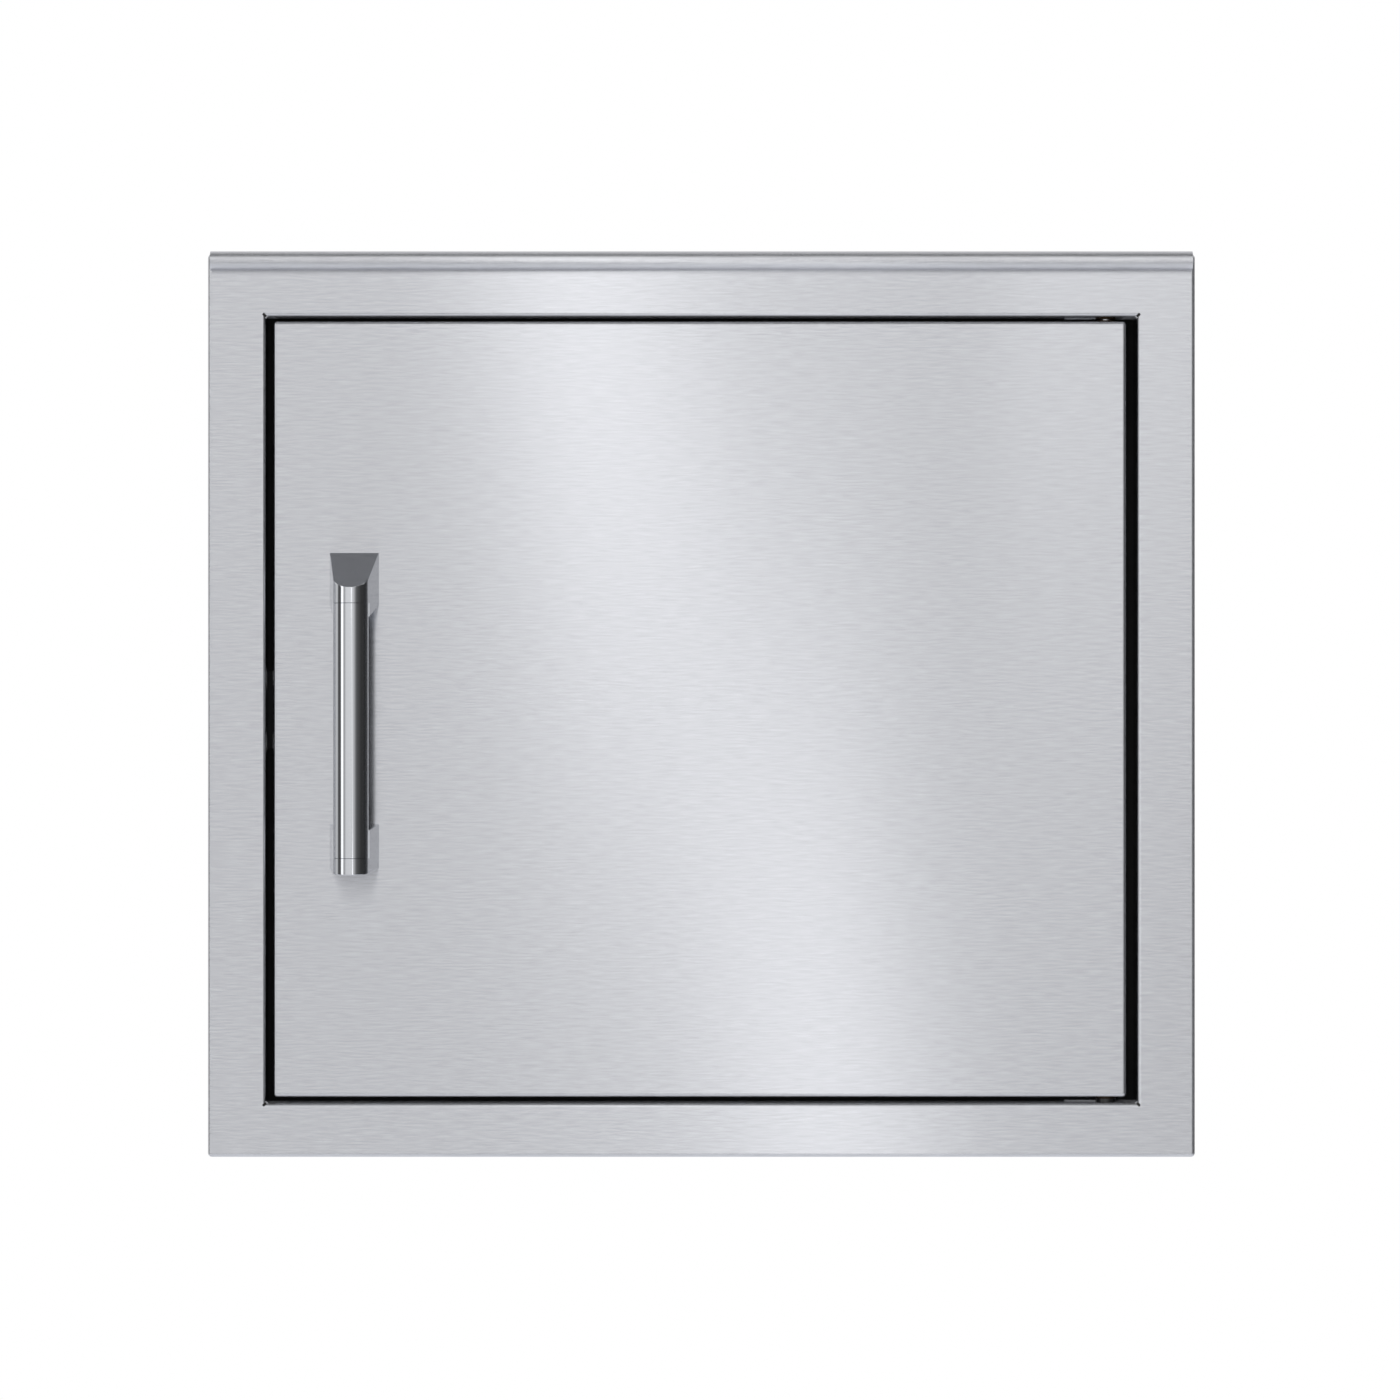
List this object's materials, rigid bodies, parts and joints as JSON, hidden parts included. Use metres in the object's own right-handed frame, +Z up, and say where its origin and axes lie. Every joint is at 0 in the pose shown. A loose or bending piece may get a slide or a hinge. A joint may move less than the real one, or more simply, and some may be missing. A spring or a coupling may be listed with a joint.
{
  "type": "access door",
  "caption": "Flush stainless access door with a bar handle and top and bottom pivots, in a one-sheet trim frame with a drip lip, for a cutout in a masonry grill island.",
  "frame": {"origin": "centre of the wall cutout, in the plane of the wall face, which the rear edge of the trim bears on", "axes": "+X to the right seen from the front, front faces -Y, +Y into the wall, +Z up"},
  "size_m": [0.6096, 0.0908, 0.5588],
  "materials": {
    "brushed_stainless": "long-grain brushed, grain level across the width",
    "mill_stainless": "dull rolled sheet",
    "polished_stainless": "buffed bright",
    "zinc_plated_steel": "bright zinc plating",
    "stainless_fasteners": "turned, plain",
    "spring_steel": "drawn wire",
    "sintered_bronze": "sintered, oiled",
    "acetal": "turned black acetal",
    "catch_plastic": "moulded, fine matt",
    "ferrite": "pressed and fired",
    "bumper_rubber": "moulded, matt",
    "seal_foam": "closed-cell foam strip, matt",
    "grip_vinyl": "dipped, soft gloss"
  },
  "bodies": {
    "frame": {"face_frame": "brushed_stainless", "drip_cap": "brushed_stainless", "stop_side_upper": "mill_stainless", "stop_side_lower": "mill_stainless", "stop_top": "mill_stainless", "stop_bottom": "mill_stainless", "stop_hinge_side": "mill_stainless", "door_seal": "seal_foam", "door_bumpers": "bumper_rubber", "catch_housing": "catch_plastic", "catch_magnet": "ferrite", "catch_pole_plates": "zinc_plated_steel", "catch_screws": "stainless_fasteners", "lower_pivot_plate": "zinc_plated_steel", "lower_pivot_pin": "stainless_fasteners", "lower_thrust_washer": "acetal", "upper_pivot_plate": "zinc_plated_steel", "upper_pivot_bush": "sintered_bronze"},
    "door": {"door_skin": "brushed_stainless", "door_liner": "mill_stainless", "handle_tube": "polished_stainless", "handle_post_upper": "polished_stainless", "handle_post_lower": "polished_stainless", "handle_backing_plate": "zinc_plated_steel", "handle_spacers": "zinc_plated_steel", "handle_washers": "stainless_fasteners", "handle_screws": "stainless_fasteners", "strike_plate": "zinc_plated_steel", "strike_rivets": "stainless_fasteners", "lower_pivot_bush": "sintered_bronze", "lower_hinge_bracket": "zinc_plated_steel", "upper_guide_bush": "sintered_bronze", "bolt_bracket": "zinc_plated_steel", "bolt_spring": "spring_steel"},
    "top_bolt": {"pivot_bolt": "stainless_fasteners", "bolt_clip": "stainless_fasteners", "bolt_grip": "grip_vinyl"}
  },
  "joints": [
    {"name": "door_swing", "type": "hinge", "parent": "frame", "child": "door", "pos_m": [0.2504, -0.006, 0], "axis": [0, 0, 1], "range_deg": [0, 120]},
    {"name": "bolt_pull", "type": "slide", "parent": "door", "child": "top_bolt", "axis": [0, 0, -1], "range_m": [0, 0.008], "stiffness_N_per_m": 800, "springref_m": -0.006, "deforming": ["bolt_spring"]}
  ]
}
